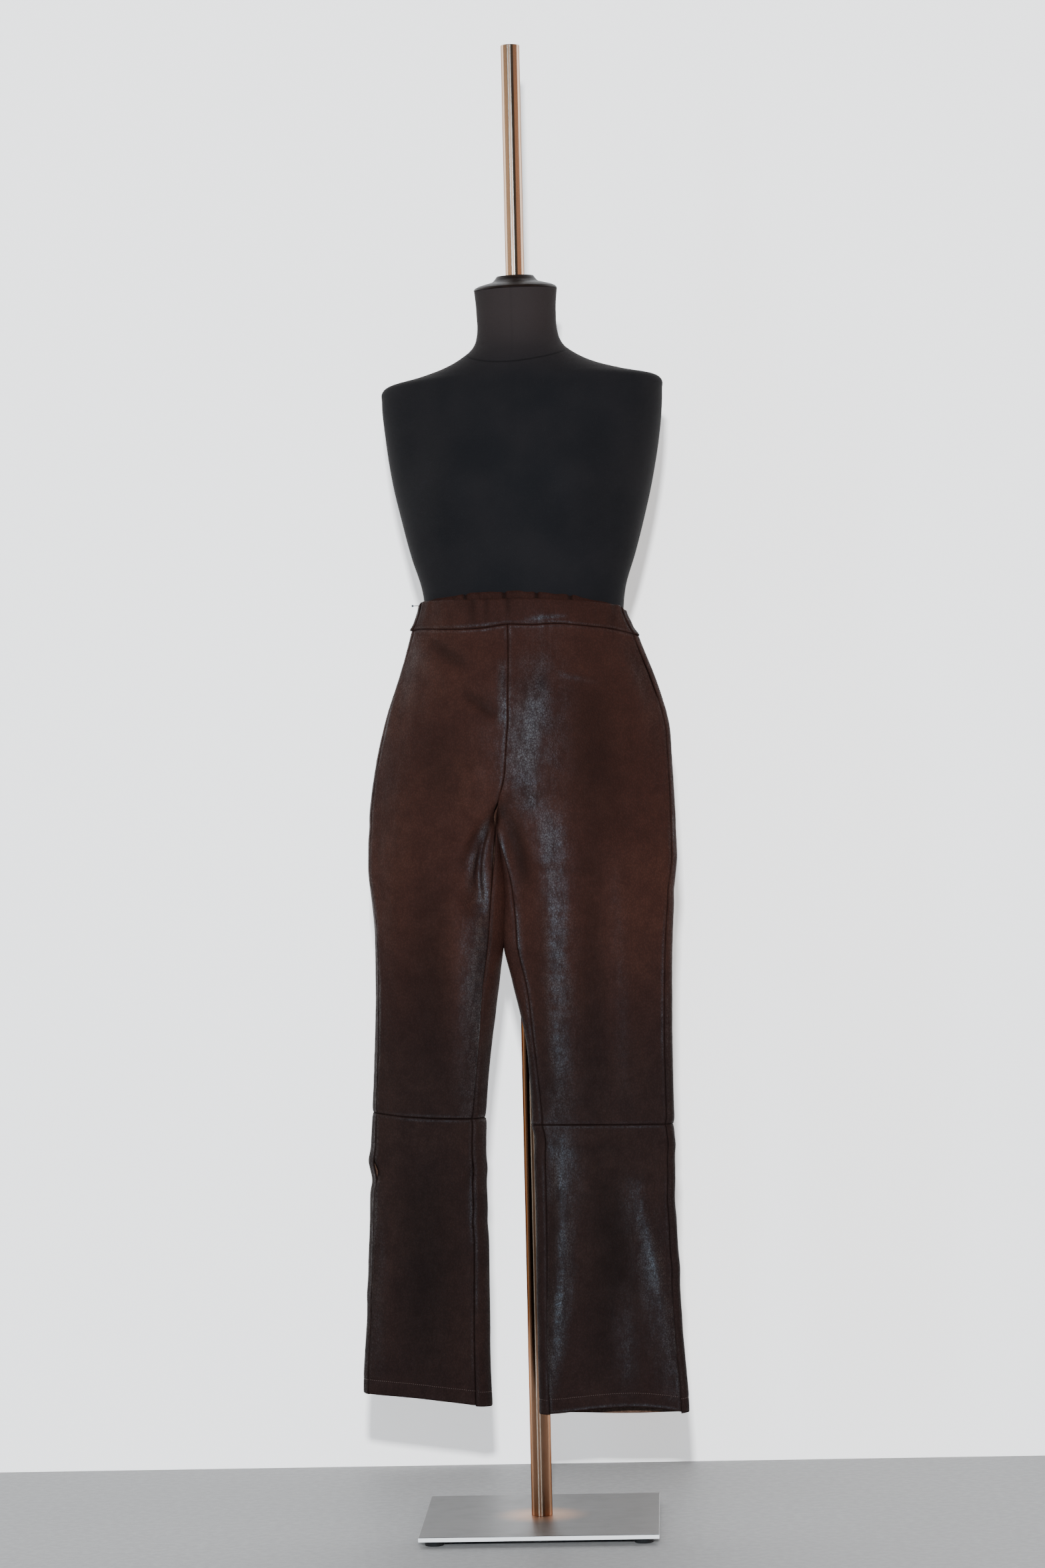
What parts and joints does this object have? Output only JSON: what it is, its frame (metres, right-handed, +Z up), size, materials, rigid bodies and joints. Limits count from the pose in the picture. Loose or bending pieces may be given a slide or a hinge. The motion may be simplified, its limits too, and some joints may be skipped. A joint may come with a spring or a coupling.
{
  "type": "leather trousers on a limbless dress form and stand",
  "caption": "Dark brown pull-on leather trousers pinned to the front of a black limbless dress form on a telescopic pole with a square steel foot.",
  "frame": {"origin": "on the floor, on the axis of the pole", "axes": "+Z up along the pole; -Y towards the front, where the trousers hang; +X towards the wearer's left leg"},
  "size_m": [0.4211, 0.31, 1.953],
  "materials": {
    "leather": "dark brown grained leather with a soft sheen",
    "jersey": "matte black fine jersey",
    "lacquer": "turned and lacquered, glossy",
    "steel": "brushed",
    "blackened": "satin black",
    "pin_steel": "bright",
    "rubber": "matte"
  },
  "bodies": {
    "base": {"base_plate": "steel", "foot_back_left": "rubber", "foot_back_right": "rubber", "foot_front_left": "rubber", "foot_front_right": "rubber", "pole_screw": "blackened", "lower_tube": "steel", "height_collar": "blackened", "height_knob": "blackened"},
    "mast": {"upper_tube": "steel", "rest_ring": "blackened"},
    "form": {"torso": "jersey", "neck_cap": "lacquer", "back_lower_left": "leather", "back_lower_right": "leather", "back_upper_left": "leather", "back_upper_right": "leather", "front_lower_left": "leather", "front_lower_right": "leather", "front_upper_left": "leather", "front_upper_right": "leather", "waistband_back": "leather", "waistband_front": "leather", "waist_pin": "pin_steel"}
  },
  "joints": [
    {"name": "height", "type": "slide", "parent": "base", "child": "mast", "axis": [0, 0, 1], "range_m": [-0.12, 0.2]},
    {"name": "swivel", "type": "hinge", "parent": "mast", "child": "form", "pos_m": [0, 0, 0.9], "axis": [0, 0, 1], "continuous": true}
  ]
}
